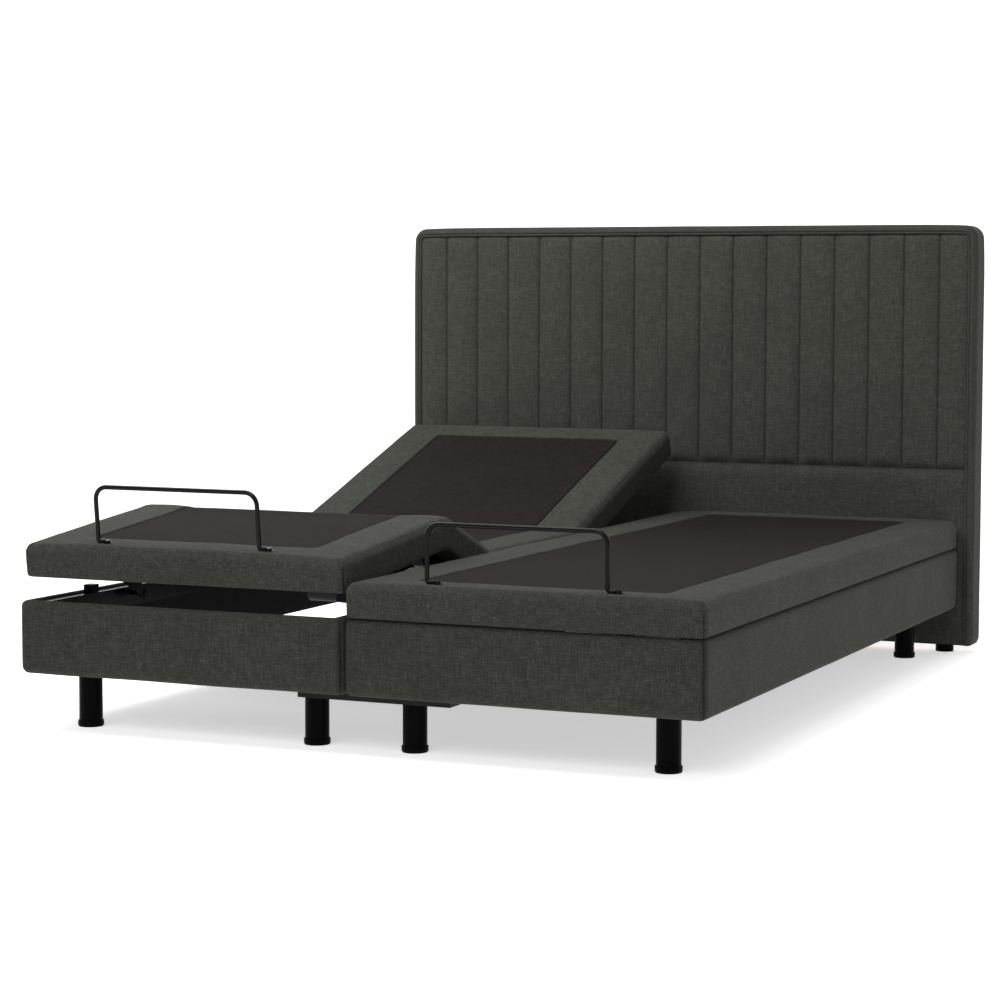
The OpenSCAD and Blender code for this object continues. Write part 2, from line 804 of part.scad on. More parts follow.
module right_bar_bolts() { in_unit(1) foot_swing(right_thigh_angle) bar_bolts(); }
module right_foot_links() { in_unit(1) foot_links(right_thigh_angle); }
module right_head_motor() { in_unit(1) at_head_drive(right_head_angle) drive_motor(-1); }
module right_head_rod() {
    in_unit(1) at_head_drive(right_head_angle)
        drive_rod(head_drive_len + head_drive_travel * radians(right_head_angle));
}
module right_leg_motor() { in_unit(1) at_leg_drive(right_thigh_angle) drive_motor(1); }
module right_leg_rod() {
    in_unit(1) at_leg_drive(right_thigh_angle)
        drive_rod(leg_drive_len + leg_drive_travel * radians(right_thigh_angle));
}

headboard_core();
headboard_back();
headboard_channel_pad();
headboard_lower_pad();
headboard_border();
headboard_feet();
headboard_brackets();
unit_connectors();
legs();
leg_caps();
rest_posts();
control_boxes();
hinge_pins();
left_end_rails();
left_side_rails();
left_main_tubes();
left_crossbars();
left_leg_posts();
left_seat_deck();
left_seat_panel();
left_head_deck();
left_head_panel();
left_head_frame();
left_thigh_deck();
left_thigh_panel();
left_thigh_frame();
left_foot_deck();
left_foot_panel();
left_foot_frame();
left_retainer_bar();
left_bar_bolts();
left_foot_links();
left_head_motor();
left_head_rod();
left_leg_motor();
left_leg_rod();
right_end_rails();
right_side_rails();
right_main_tubes();
right_crossbars();
right_leg_posts();
right_seat_deck();
right_seat_panel();
right_head_deck();
right_head_panel();
right_head_frame();
right_thigh_deck();
right_thigh_panel();
right_thigh_frame();
right_foot_deck();
right_foot_panel();
right_foot_frame();
right_retainer_bar();
right_bar_bolts();
right_foot_links();
right_head_motor();
right_head_rod();
right_leg_motor();
right_leg_rod();
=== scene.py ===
"""Adjustable bed base: two powered single units side by side and a shared channelled headboard.

Lengths are in metres. X runs right seen from the foot end, Y to the headboard and Z up.
"""
import bpy
import json
import math
import numpy as np
from mathutils import Matrix, Vector, noise


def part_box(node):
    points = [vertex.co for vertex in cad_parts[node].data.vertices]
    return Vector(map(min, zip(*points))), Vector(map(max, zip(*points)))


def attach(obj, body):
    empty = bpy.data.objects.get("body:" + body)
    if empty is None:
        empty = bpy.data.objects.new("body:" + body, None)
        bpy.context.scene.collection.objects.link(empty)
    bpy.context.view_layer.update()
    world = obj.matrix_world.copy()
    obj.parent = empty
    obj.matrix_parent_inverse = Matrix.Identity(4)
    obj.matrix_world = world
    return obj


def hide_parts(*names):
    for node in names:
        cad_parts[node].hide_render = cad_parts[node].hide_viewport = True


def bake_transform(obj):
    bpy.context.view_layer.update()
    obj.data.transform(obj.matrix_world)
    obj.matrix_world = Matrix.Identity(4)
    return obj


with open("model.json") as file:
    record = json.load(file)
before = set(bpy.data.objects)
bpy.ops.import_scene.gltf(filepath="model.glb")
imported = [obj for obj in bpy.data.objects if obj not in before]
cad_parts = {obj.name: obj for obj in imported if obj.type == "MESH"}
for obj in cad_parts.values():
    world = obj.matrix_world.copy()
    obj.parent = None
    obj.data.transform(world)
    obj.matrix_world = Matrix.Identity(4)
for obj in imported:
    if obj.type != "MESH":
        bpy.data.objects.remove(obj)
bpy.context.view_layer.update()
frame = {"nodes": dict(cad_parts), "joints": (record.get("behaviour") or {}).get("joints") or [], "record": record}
scene = bpy.context.scene
joints = {j["name"]: j for j in frame["joints"]}
UNITS = ((-1, "left_"), (1, "right_"))
ON_FACE = 1e-6  # a point this near a face counts as lying on it
TINY = 1e-9  # keeps a division away from zero

# ---------------------------------------------------------------- measures read from the frame
low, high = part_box("right_side_rails")
unit_x = 0.5 * (low.x + high.x)
rail_out = 0.5 * (high.x - low.x)
rail_low, rail_high = low.z, high.z
low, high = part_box("right_end_rails")
rail_y = (low.y, high.y)
low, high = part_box("right_foot_deck")
deck_low, deck_high = low.z, high.z
deck_half = 0.5 * (high.x - low.x)
deck_y0 = low.y
deck_y1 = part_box("right_head_deck")[1].y
low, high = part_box("right_seat_panel")
field_half = 0.5 * (high.x - low.x)
field_top = high.z
field_y0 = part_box("right_foot_panel")[0].y
field_y1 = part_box("right_head_panel")[1].y
hinge_z = joints["right_head_lift"]["pos_m"][2]
head_y = joints["right_head_lift"]["pos_m"][1]
thigh_y = joints["right_thigh_lift"]["pos_m"][1]
knee_y = joints["right_knee_fold"]["pos_m"][1]
left_head = math.radians(-joints["left_head_lift"]["range_deg"][0])
left_thigh = math.radians(-joints["left_thigh_lift"]["range_deg"][0])
ratios = {c["joint"]: c["ratio"] for c in frame["record"]["behaviour"]["couplings"]}
left_knee = left_thigh * ratios["left_knee_fold"]
seat_split = 0.5 * (head_y + thigh_y)
thigh_split = 0.5 * (thigh_y + knee_y)


# ---------------------------------------------------------------- small numeric helpers
def smooth(t):
    """An S-shaped step from 0 to 1 as t goes from 0 to 1."""
    t = np.clip(t, 0, 1)
    return t * t * (3 - 2 * t)


def line_at(distance, width):
    """1 on a line and fading away from it, as a seam does."""
    return np.exp(-(distance / width) ** 2)


def ripple(p, size, seed=0.0):
    """Smooth noise from -1 to 1 at points p, with features of that size in metres."""
    q = np.asarray(p, float) / size + seed
    return np.array([noise.noise(Vector(v)) for v in q])


def spaced(a, b, step, dense=()):
    """Grid lines from a to b: step apart, and finer in each dense zone (place, half width, fine step)."""
    fade_steps, growth, thinnest = 4, 0.45, 0.3
    out = [a]
    while out[-1] < b - TINY:
        here = out[-1]
        gap = step
        for place, reach, fine in dense:
            away = abs(here + 0.5 * fine - place)
            if away <= reach:
                gap = min(gap, fine)
            elif away < reach + fade_steps * step:
                gap = min(gap, fine + growth * (away - reach))
                if here < place - reach:
                    gap = min(gap, max(fine, place - reach - here))
        out.append(here + gap)
    out[-1] = b
    if len(out) > 2 and out[-1] - out[-2] < thinnest * (out[-2] - out[-3]):
        out.pop(-2)
    return np.array(out)


def rim_lines(a, b, step, r, n=5, dense=(), soft=(True, True)):
    """Grid lines with a fine rim of width r at each soft end."""
    inner = spaced(a + (r if soft[0] else 0), b - (r if soft[1] else 0), step, dense)
    parts = []
    if soft[0]:
        parts.append(np.linspace(a, a + r, n, endpoint=False))
    parts.append(inner)
    if soft[1]:
        parts.append(np.linspace(b - r, b, n + 1)[1:])
    return np.concatenate(parts)


def arc(cx, cz, r, a0, a1, n):
    """Points of an arc about (cx, cz), from angle a0 to a1 in degrees."""
    turns = [math.radians(a0 + (a1 - a0) * k / n) for k in range(n + 1)]
    return [(cx + r * math.cos(t), cz + r * math.sin(t)) for t in turns]


def turned(p, y, z, angle, weight):
    """Points p turned about an X axis through (y, z) by angle times each point's weight."""
    a = angle * weight
    dy, dz = p[:, 1] - y, p[:, 2] - z
    q = p.copy()
    q[:, 1] = y + dy * np.cos(a) - dz * np.sin(a)
    q[:, 2] = z + dy * np.sin(a) + dz * np.cos(a)
    return q


# Length of the stretch over which a cover bends at each hinge
HEAD_FOLD, THIGH_FOLD, KNEE_FOLD = 0.062, 0.070, 0.075


def raised(p, side):
    """Moves flat section points to the rest pose of that side's unit; the right unit rests flat."""
    if side > 0:
        return p
    y = p[:, 1]
    q = turned(p, knee_y, hinge_z, left_knee, smooth(0.5 - (y - knee_y) / KNEE_FOLD))
    q = turned(q, thigh_y, hinge_z, -left_thigh, smooth(0.5 - (y - thigh_y) / THIGH_FOLD))
    return turned(q, head_y, hinge_z, left_head, smooth(0.5 + (y - head_y) / HEAD_FOLD))


def corner_shift(across, along):
    """How a square corner's points move in to make it round, in radii.

    across and along run from 0 where the rounding starts to 1 at the edge.
    """
    both = (across > 0) & (along > 0)
    share = np.maximum(across, along) / np.maximum(np.hypot(across, along), TINY)
    pull = np.where(both, share, 1) - 1
    return across * pull, along * pull


# ---------------------------------------------------------------- mesh building
SHARP_ANGLE = math.radians(55)


def make(name, verts, faces, flat, seam, mats, face_mat=None):
    """A mesh object that carries, at each point, the flat place its weave follows and how much painted shade
    darkens it at seams and creases.
    """
    mesh = bpy.data.meshes.new(name)
    mesh.from_pydata([tuple(v) for v in verts], [], [tuple(int(i) for i in f) for f in faces])
    for m in mats:
        mesh.materials.append(m)
    if face_mat is not None:
        mesh.polygons.foreach_set("material_index", np.asarray(face_mat, np.int32))
    mesh.polygons.foreach_set("use_smooth", np.ones(len(mesh.polygons), bool))
    at = mesh.attributes.new("flat", "FLOAT_VECTOR", "POINT")
    at.data.foreach_set("vector", np.asarray(flat, np.float32).ravel())
    at = mesh.attributes.new("seam", "FLOAT", "POINT")
    at.data.foreach_set("value", np.asarray(seam, np.float32))
    mesh.update()
    mesh.set_sharp_from_angle(angle=SHARP_ANGLE)
    obj = bpy.data.objects.new(name, mesh)
    scene.collection.objects.link(obj)
    return obj


UNDERSIDE = 4


def slab_grid(xs, ys, zs):
    """The surface of a lattice box: points, quads facing out, and each quad's side.

    Sides count 0 -x, 1 +x, 2 -y, 3 +y, 4 -z, 5 +z.
    """
    nx, ny, nz = len(xs), len(ys), len(zs)
    ids = -np.ones((nx, ny, nz), int)
    shell = np.zeros((nx, ny, nz), bool)
    shell[[0, -1]] = shell[:, [0, -1]] = shell[:, :, [0, -1]] = True
    ids[shell] = np.arange(shell.sum())
    i, j, k = np.nonzero(shell)
    pts = np.stack([xs[i], ys[j], zs[k]], 1)
    quads, sides = [], []
    grids = (
        (ids[0], True), (ids[-1], False),
        (ids[:, 0], False), (ids[:, -1], True),
        (ids[:, :, 0], True), (ids[:, :, -1], False),
    )
    for side, (grid, flip) in enumerate(grids):
        q = np.stack([grid[:-1, :-1], grid[1:, :-1], grid[1:, 1:], grid[:-1, 1:]], -1).reshape(-1, 4)
        quads.append(q[:, ::-1] if flip else q)
        sides.append(np.full(len(q), side))
    return pts, np.concatenate(quads), np.concatenate(sides)


def ring_quads(n, m, closed):
    """Quads between m rings of n points, the last ring joined to the first; closed rings have no open end."""
    i = np.arange(n if closed else n - 1)
    quads = []
    for k in range(m):
        a, b = k * n, ((k + 1) % m) * n
        quads.append(np.stack([a + i, a + (i + 1) % n, b + (i + 1) % n, b + i], 1))
    return np.concatenate(quads)


def rounded(p, lo, hi, r_xy, r_top, r_low, round_y):
    """Rounds the corners and edges of a box's surface points: r_xy sideways, r_top and r_low up and down."""
    q = p.copy()
    mid = 0.5 * (lo + hi)
    rz = np.where(p[:, 2] > mid[2], r_top, r_low)

    def near(axis, r):
        rise = np.clip((p[:, axis] - hi[axis] + r) / r, 0, 1)
        fall = np.clip((lo[axis] + r - p[:, axis]) / r, 0, 1)
        return rise, fall

    v = np.zeros_like(p)
    rise, fall = near(0, r_xy)
    v[:, 0] = np.where(p[:, 0] > mid[0], rise, -fall)
    rise, fall = near(1, r_xy)
    v[:, 1] = np.where(p[:, 1] > mid[1], rise * round_y[1], -fall * round_y[0])
    rise, fall = near(2, rz)
    v[:, 2] = np.where(p[:, 2] > mid[2], rise, -fall)
    length = np.linalg.norm(v, axis=1)
    most = np.abs(v).max(axis=1)
    s = np.where(length > TINY, most / np.maximum(length, TINY), 1.0)
    shift = v * (s - 1)[:, None]
    q[:, 0] += shift[:, 0] * r_xy
    q[:, 1] += shift[:, 1] * r_xy
    q[:, 2] += shift[:, 2] * rz
    return q


# ---------------------------------------------------------------- materials
def node_tree(name):
    """A new material with one Principled shader."""
    m = bpy.data.materials.new(name)
    m.use_nodes = True
    nt = m.node_tree
    nt.nodes.clear()
    out = nt.nodes.new("ShaderNodeOutputMaterial")
    bsdf = nt.nodes.new("ShaderNodeBsdfPrincipled")
    nt.links.new(bsdf.outputs[0], out.inputs[0])
    return m, nt, bsdf


def add(nt, kind, **values):
    """A new node with its inputs and settings filled in."""
    n = nt.nodes.new(kind)
    for k, v in values.items():
        if k in n.inputs.keys():
            n.inputs[k].default_value = v
        else:
            setattr(n, k, v)
    return n


def put(nt, socket, value):
    """Sets a socket to a value, or links another socket to it."""
    if isinstance(value, (int, float, tuple)):
        socket.default_value = value
    else:
        nt.links.new(value, socket)


def linear(r, g, b):
    """A display colour from 0 to 255 as linear light."""
    return tuple((c / 255 / 12.92) if c <= 10 else ((c / 255 + 0.055) / 1.055) ** 2.4 for c in (r, g, b)) + (1.0,)


def flat_noise(nt, scale, stretch=(1, 1, 1), detail=2.0, rough=0.5, source="flat"):
    """Noise that follows a piece's own cloth or metal, with features 1 / scale metres across."""
    if source == "flat":
        src = add(nt, "ShaderNodeAttribute", attribute_name="flat").outputs["Vector"]
    else:
        src = add(nt, "ShaderNodeTexCoord").outputs["Object"]
    mp = add(nt, "ShaderNodeMapping")
    mp.inputs["Scale"].default_value = tuple(scale * s for s in stretch)
    nt.links.new(src, mp.inputs["Vector"])
    tex = add(nt, "ShaderNodeTexNoise", Scale=1.0, Detail=detail, Roughness=rough)
    nt.links.new(mp.outputs[0], tex.inputs["Vector"])
    return tex.outputs["Fac"]


def maths(nt, op, a, b, c=None):
    """A maths node; each operand is a number or a socket."""
    n = add(nt, "ShaderNodeMath", operation=op)
    for i, v in enumerate((a, b, c)):
        if v is not None:
            put(nt, n.inputs[i], v)
    return n.outputs[0]


def around_middle(nt, noise_out, share, base):
    """base plus share times how far the noise is from its middle."""
    return maths(nt, "MULTIPLY_ADD", maths(nt, "SUBTRACT", noise_out, 0.5), share, base)


def ramp(nt, fac, stops):
    """A colour ramp through the given stops (place, colour)."""
    r = add(nt, "ShaderNodeValToRGB")
    el = r.color_ramp.elements
    while len(el) > 1:
        el.remove(el[-1])
    el[0].position, el[0].color = stops[0]
    for pos, col in stops[1:]:
        e = el.new(pos)
        e.color = col
    nt.links.new(fac, r.inputs[0])
    return r.outputs[0]


def mixed(nt, fac, a, b):
    """Colour a turning into colour b as fac goes from 0 to 1."""
    n = add(nt, "ShaderNodeMix", data_type="RGBA", blend_type="MIX")
    for i, v in ((0, fac), (6, a), (7, b)):
        put(nt, n.inputs[i], v)
    return n.outputs[2]


def bumped(nt, bsdf, height, distance, strength):
    """Fine relief on the surface."""
    b = add(nt, "ShaderNodeBump", Strength=strength, Distance=distance)
    nt.links.new(height, b.inputs["Height"])
    nt.links.new(b.outputs[0], bsdf.inputs["Normal"])


def cloth(name, deep, mean, light, thread=0.0013, streak=(1.0, 1.0, 1.0), sheen=0.06, relief=0.00035, contrast=1.0):
    """A heathered plain weave: threads run along each axis of the cloth, and fine slubs break the colour."""
    m, nt, bsdf = node_tree(name)
    per_thread = 1 / thread
    thread_length = 0.10
    runs = []
    for axis in range(3):
        stretch = [1.0, 1.0, 1.0]
        stretch[axis] = thread_length
        runs.append(maths(nt, "MULTIPLY", flat_noise(nt, per_thread * 0.62, stretch, 1.5, 0.55), streak[axis]))
    threads = maths(nt, "ADD", maths(nt, "ADD", runs[0], runs[1]), runs[2])
    threads = maths(nt, "DIVIDE", threads, sum(streak))
    grain = flat_noise(nt, per_thread * 0.30, detail=2.0, rough=0.6)
    slub = flat_noise(nt, per_thread * 0.055, detail=2.0, rough=0.55)
    broad = flat_noise(nt, 6.0)
    value = 0.5
    for layer, share in ((threads, 2.3), (grain, 0.5), (slub, 0.22), (broad, 0.2)):
        value = around_middle(nt, layer, share * contrast, value)
    colour = ramp(nt, value, [(0.0, deep), (0.5, mean), (1.0, light)])
    # Painted shade: each point's seam value mixes the cloth towards a near-black copy of its deep colour along
    # seams, creases and the sunken field's edge.
    seam = add(nt, "ShaderNodeAttribute", attribute_name="seam").outputs["Fac"]
    seam_shade_strength, seam_shade_depth = 0.85, 0.3
    dark = tuple(c * seam_shade_depth for c in deep[:3]) + (1,)
    colour = mixed(nt, maths(nt, "MULTIPLY", seam, seam_shade_strength), colour, dark)
    nt.links.new(colour, bsdf.inputs["Base Color"])
    nt.links.new(maths(nt, "MULTIPLY_ADD", threads, 0.2, 0.78), bsdf.inputs["Roughness"])
    bsdf.inputs["Specular IOR Level"].default_value = 0.07
    bsdf.inputs["Sheen Weight"].default_value = sheen
    bsdf.inputs["Sheen Roughness"].default_value = 0.45
    bsdf.inputs["Sheen Tint"].default_value = (0.75, 0.75, 0.7, 1)
    bumped(nt, bsdf, value, relief, 0.9)
    return m


def paint(name, colour, worn, roughness, relief=0.00004, coat=0.0, grain=900.0, spec=0.16):
    """Coated metal or moulded plastic: fine texture, and patches that lean to a worn colour and gloss."""
    m, nt, bsdf = node_tree(name)
    fine = flat_noise(nt, grain, source="object")
    patch = flat_noise(nt, 14.0, detail=3.0, rough=0.6, source="object")
    nt.links.new(ramp(nt, patch, [(0.3, (*colour, 1)), (0.75, (*worn, 1))]), bsdf.inputs["Base Color"])
    spread = 0.14
    nt.links.new(maths(nt, "MULTIPLY_ADD", patch, spread, roughness - 0.5 * spread), bsdf.inputs["Roughness"])
    bsdf.inputs["Specular IOR Level"].default_value = spec
    bsdf.inputs["Coat Weight"].default_value = coat
    bsdf.inputs["Coat Roughness"].default_value = 0.18
    bumped(nt, bsdf, fine, relief, 0.7)
    return m


def steel(name):
    """Bare plated steel with a drawn grain."""
    m, nt, bsdf = node_tree(name)
    brush = flat_noise(nt, 1400.0, (0.05, 0.05, 1), source="object")
    patch = flat_noise(nt, 25.0, detail=3.0, rough=0.6, source="object")
    dull, clean = (0.42, 0.42, 0.43, 1), (0.62, 0.62, 0.63, 1)
    nt.links.new(ramp(nt, patch, [(0.3, dull), (0.8, clean)]), bsdf.inputs["Base Color"])
    bsdf.inputs["Metallic"].default_value = 1.0
    nt.links.new(maths(nt, "MULTIPLY_ADD", brush, 0.25, 0.2), bsdf.inputs["Roughness"])
    bumped(nt, bsdf, brush, 0.00002, 0.5)
    return m


def wood(name):
    """Rough board: long grain broken by small chips."""
    m, nt, bsdf = node_tree(name)
    grain = flat_noise(nt, 60.0, (0.08, 1, 1), 4.0, 0.6, "object")
    chips = flat_noise(nt, 260.0, detail=2.0, rough=0.6, source="object")
    value = maths(nt, "MULTIPLY_ADD", chips, 0.4, maths(nt, "MULTIPLY", grain, 0.7))
    dark, pale = (0.30, 0.19, 0.10, 1), (0.55, 0.40, 0.25, 1)
    nt.links.new(ramp(nt, value, [(0.3, dark), (0.8, pale)]), bsdf.inputs["Base Color"])
    bsdf.inputs["Roughness"].default_value = 0.7
    bumped(nt, bsdf, value, 0.0002, 0.6)
    return m


linen = linear(32, 33, 29), linear(51, 52, 47), linear(76, 77, 72)
# The base rails take the sections' linen a little darker, as painted shade.
rail_linen_shaded = linear(30, 31, 28), linear(49, 50, 45), linear(73, 74, 69)
non_slip = linear(15, 13, 12), linear(26, 23, 22), linear(42, 37, 35)
# Black backing cloth: real dust cloth under the sections and on the headboard's back, and painted shade on the
# rails' inside lining.
dust_cloth = linear(16, 16, 16), linear(26, 26, 26), linear(40, 40, 40)
MAT = {
    "headboard_fabric": cloth("headboard_linen", *linen, contrast=0.7),
    "base_fabric": cloth("base_linen", *rail_linen_shaded),
    "section_fabric": cloth("section_linen", *linen),
    "field_fabric": cloth(
        "field_weave", *non_slip,
        thread=0.0011, streak=(3.2, 0.5, 0.5), sheen=0.02, relief=0.0002, contrast=0.9),
    "backing": cloth("dust_cloth", *dust_cloth, thread=0.0008, sheen=0.05, relief=0.0001),
    "leg_paint": paint(
        "satin_black_paint", (0.0009, 0.0008, 0.0008), (0.0019, 0.0017, 0.0016), 0.30,
        grain=700.0, spec=0.03),
    "bar_paint": paint(
        "gloss_black_paint", (0.003, 0.0026, 0.0026), (0.006, 0.005, 0.005), 0.22,
        coat=0.14, spec=0.08),
    "frame_paint": paint(
        "frame_black_paint", (0.0025, 0.0025, 0.0025), (0.005, 0.005, 0.005), 0.26,
        coat=0.10, spec=0.08),
    "black_plastic": paint(
        "cap_plastic", (0.0014, 0.0014, 0.0014), (0.0028, 0.0028, 0.0028), 0.42,
        grain=1500.0, relief=0.00006, spec=0.035),
    "drive_plastic": paint(
        "drive_plastic", (0.010, 0.010, 0.011), (0.018, 0.018, 0.018), 0.45,
        grain=1200.0, relief=0.00008),
    "bright_steel": steel("zinc_steel"),
    "timber": wood("sawn_board"),
}
slot_of = {s["node"]: s["material_slot"] for s in frame["record"]["subparts"]}
for node, obj in frame["nodes"].items():
    obj.data.materials.clear()
    obj.data.materials.append(MAT[slot_of[node]])


# ---------------------------------------------------------------- section covers and their non-slip fields
SOCKET_PLAY, SOCKET_DEPTH = 0.003, 0.0155
SOCKET_WALL = 0.0004  # how far a socket's wall leans
posts = np.array([v.co[:] for v in frame["nodes"]["rest_posts"].data.vertices])
posts = posts[posts[:, 0] > unit_x]
socket_x = (posts[:, 0].min() - unit_x - SOCKET_PLAY, posts[:, 0].max() - unit_x + SOCKET_PLAY)
foot_posts, head_posts = posts[posts[:, 1] < 0], posts[posts[:, 1] > 0]
socket_y = [(part[:, 1].min() - SOCKET_PLAY, part[:, 1].max() + SOCKET_PLAY) for part in (foot_posts, head_posts)]

# Each side's cloth lies at its own place in the weave, and has its own waviness.
WEAVE_SHIFT = 3.0
EDGE_STEP = 0.0022  # grid step beside the field's edge
FOLD_REACH, FOLD_STEP = 0.04, 0.0055  # grid zone at each fold


def cloth_seed(side):
    return 3.1 if side > 0 else 8.7


def with_edges(lines, pairs):
    """The grid lines with two close ones added at each edge of the sockets."""
    extra = [
        e
        for a, b in pairs if lines[0] < a and b < lines[-1]
        for e in (a, a + SOCKET_WALL, b - SOCKET_WALL, b)
    ]
    return np.unique(np.concatenate([lines, extra]))


def in_socket(p):
    """Which points of the underside lie over the blocks that the section rests on."""
    inset = 0.5 * SOCKET_WALL
    over_x = (np.abs(p[:, 0]) > socket_x[0] + inset) & (np.abs(p[:, 0]) < socket_x[1] - inset)
    over_y = np.any([(p[:, 1] > a + inset) & (p[:, 1] < b - inset) for a, b in socket_y], axis=0)
    return over_x & over_y & (p[:, 2] < deck_low + ON_FACE)


def field_gap(x, y):
    """Distance outside the field's rounded outline, negative inside it."""
    r = 0.014
    dx = np.abs(x) - (field_half - r)
    dy = np.abs(y - 0.5 * (field_y0 + field_y1)) - (0.5 * (field_y1 - field_y0) - r)
    return np.hypot(np.maximum(dx, 0), np.maximum(dy, 0)) + np.minimum(np.maximum(dx, dy), 0) - r


def wander(p, seed):
    """How far the field's edge wanders, as hand-laid cloth does."""
    return 0.0012 * ripple(p * [1, 1, 0], 0.11, seed)


def cover(side, name, y0, y1, folds, ends):
    """One stretch of padded cover over the sections, as a closed piece in its unit's rest pose."""
    edge_r, top_r, low_r = 0.018, 0.022, 0.007
    step, rim_steps = 0.012, 6
    lo = np.array([-deck_half, y0, deck_low])
    hi = np.array([deck_half, y1, deck_high])
    beside_field = [(s * field_half, 0.5 * step, EDGE_STEP) for s in (-1, 1)]
    xs = rim_lines(lo[0], hi[0], step, edge_r, rim_steps, beside_field)
    dense = [(y, 0.5 * step, EDGE_STEP) for y in (field_y0, field_y1)] + [(y, FOLD_REACH, FOLD_STEP) for y in folds]
    ys = rim_lines(y0, y1, step, edge_r, rim_steps, dense, ends)
    xs = with_edges(xs, [socket_x, (-socket_x[1], -socket_x[0])])
    ys = with_edges(ys, socket_y)
    zs = np.concatenate([
        np.linspace(lo[2], lo[2] + low_r, 4, endpoint=False),
        np.linspace(lo[2] + low_r, hi[2] - top_r, 7),
        np.linspace(hi[2] - top_r, hi[2], 8)[1:],
    ])
    flat, quads, sides = slab_grid(xs, ys, zs)
    x, y, z = flat.T
    p = rounded(flat, lo, hi, edge_r, top_r, low_r, ends)
    seed = cloth_seed(side)
    away_from_mid = np.sign(x)
    on_side = np.abs(x) > deck_half - ON_FACE

    # The top sinks where the field lies and swells across the border around it.
    recess, border_crown, top_skin = 0.0062, 0.0022, 0.004
    top = smooth((z - hi[2] + top_skin) / top_skin)
    gap = field_gap(x, y) + wander(flat, seed)
    p[:, 2] -= top * recess * smooth((0.0035 - gap) / 0.006)
    strip = np.clip(gap / (deck_half - field_half), 0, 1)
    p[:, 2] += top * border_crown * np.sin(np.pi * strip)

    # The upright faces swell outwards, the sides less because the units stand close together.
    side_swell, end_share = 0.0011, 1.8
    body = np.clip((z - lo[2]) / (hi[2] - lo[2]), 0, 1)
    swell = 0.0016 * np.sin(np.pi * body) * (1 - top)
    p[:, 0] += np.where(on_side, away_from_mid * np.minimum(swell, side_swell), 0)
    if ends[0]:
        p[:, 1] -= np.where(y < y0 + ON_FACE, swell * end_share, 0)
    if ends[1]:
        p[:, 1] += np.where(y > y1 - ON_FACE, swell * end_share, 0)

    # Low waviness: full on top, less under the field and least on the underside
    under_field, underside = 0.3, 0.15
    wave = 0.0011 * ripple(flat * [1, 1, 0], 0.16, seed) + 0.0005 * ripple(flat, 0.05, seed + 4)
    p[:, 2] += wave * np.where(gap > -0.002, 1, under_field) * (underside + (1 - underside) * top)
    side_wave = 0.0008
    side_shift = -side_wave + side_wave * ripple(flat * [0, 1, 1], 0.12, seed + 9)
    p[:, 0] += np.where(on_side, away_from_mid * side_shift, 0)

    # A pinched seam runs down each upright corner, below the rounded top.
    seam_width, pinch, seam_top = 0.0032, 0.0014, hi[2] - 0.014
    corner = np.zeros(len(p))
    for on, end_y in zip(ends, (y0, y1)):
        if on:
            away = np.hypot(np.abs(x) - deck_half, y - end_y)
            corner = np.maximum(corner, line_at(away, seam_width) * smooth((seam_top - z) / 0.01))
    p[:, 0] -= away_from_mid * corner * pinch
    p[:, 1] += np.where(y > 0.5 * (y0 + y1), -1, 1) * corner * pinch

    p[:, 2] += np.where(in_socket(flat), SOCKET_DEPTH, 0)
    # Painted shade darkens the pinched corner seams and a line round the sunken field.
    seam = np.maximum(corner * 0.8, line_at(gap, seam_width) * top)
    face_mat = np.where(sides == UNDERSIDE, 1, 0)
    obj = make(
        name, raised(p, side) + [side * unit_x, 0, 0], quads, flat + [side * WEAVE_SHIFT, 0, 0], seam,
        (MAT["section_fabric"], MAT["backing"]), face_mat)
    return obj


def field(side, name, y0, y1, folds, ends):
    """One stretch of the non-slip cloth in the middle of the cover."""
    play, sunk, proud, r = 0.001, 0.0075, 0.0001, 0.013
    step, rim_steps = 0.014, 5
    y0 = field_y0 + play if ends[0] else y0
    y1 = field_y1 - play if ends[1] else y1
    half = field_half - play
    top_z = field_top + proud
    xs = rim_lines(-half, half, step, r, rim_steps)
    ys = rim_lines(y0, y1, step, r, rim_steps, [(y, FOLD_REACH, FOLD_STEP) for y in folds], ends)
    flat, quads, _ = slab_grid(xs, ys, np.array([deck_high - sunk, top_z]))
    x, y, z = flat.T
    p = flat.copy()
    across = np.clip((np.abs(x) - half + r) / r, 0, 1)
    along = np.zeros(len(p))
    if ends[0]:
        along = np.maximum(along, np.clip((y0 + r - y) / r, 0, 1))
    if ends[1]:
        along = np.maximum(along, np.clip((y - y1 + r) / r, 0, 1))
    dx, dy = corner_shift(across, along)
    p[:, 0] += np.sign(x) * dx * r
    p[:, 1] += np.where(y > 0.5 * (y0 + y1), 1, -1) * dy * r
    seed = cloth_seed(side)
    shift = wander(flat, seed)
    p[:, 0] -= np.where(np.abs(x) > half - ON_FACE, np.sign(x) * shift, 0)
    p[:, 1] += np.where(ends[0] & (y < y0 + ON_FACE), shift, 0)
    p[:, 1] -= np.where(ends[1] & (y > y1 - ON_FACE), shift, 0)
    inside = -field_gap(x, y)
    edge_drop, edge_width = 0.0016, 0.007
    is_top = z > top_z - ON_FACE
    p[:, 2] -= np.where(is_top, edge_drop * smooth((edge_width - inside) / edge_width), 0)
    p[:, 2] += np.where(is_top, 0.0005 * ripple(flat * [1, 1, 0], 0.09, seed + 2), 0)
    # The field's edge is darkened with painted shadow, where it sinks below the border.
    obj = make(
        name, raised(p, side) + [side * unit_x, 0, 0], quads, flat + [side * WEAVE_SHIFT, 0, 0],
        line_at(inside, 0.0035), (MAT["field_fabric"],))
    return obj


def crossing(obj):
    """Bakes obj's placement into its points."""
    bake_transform(obj)


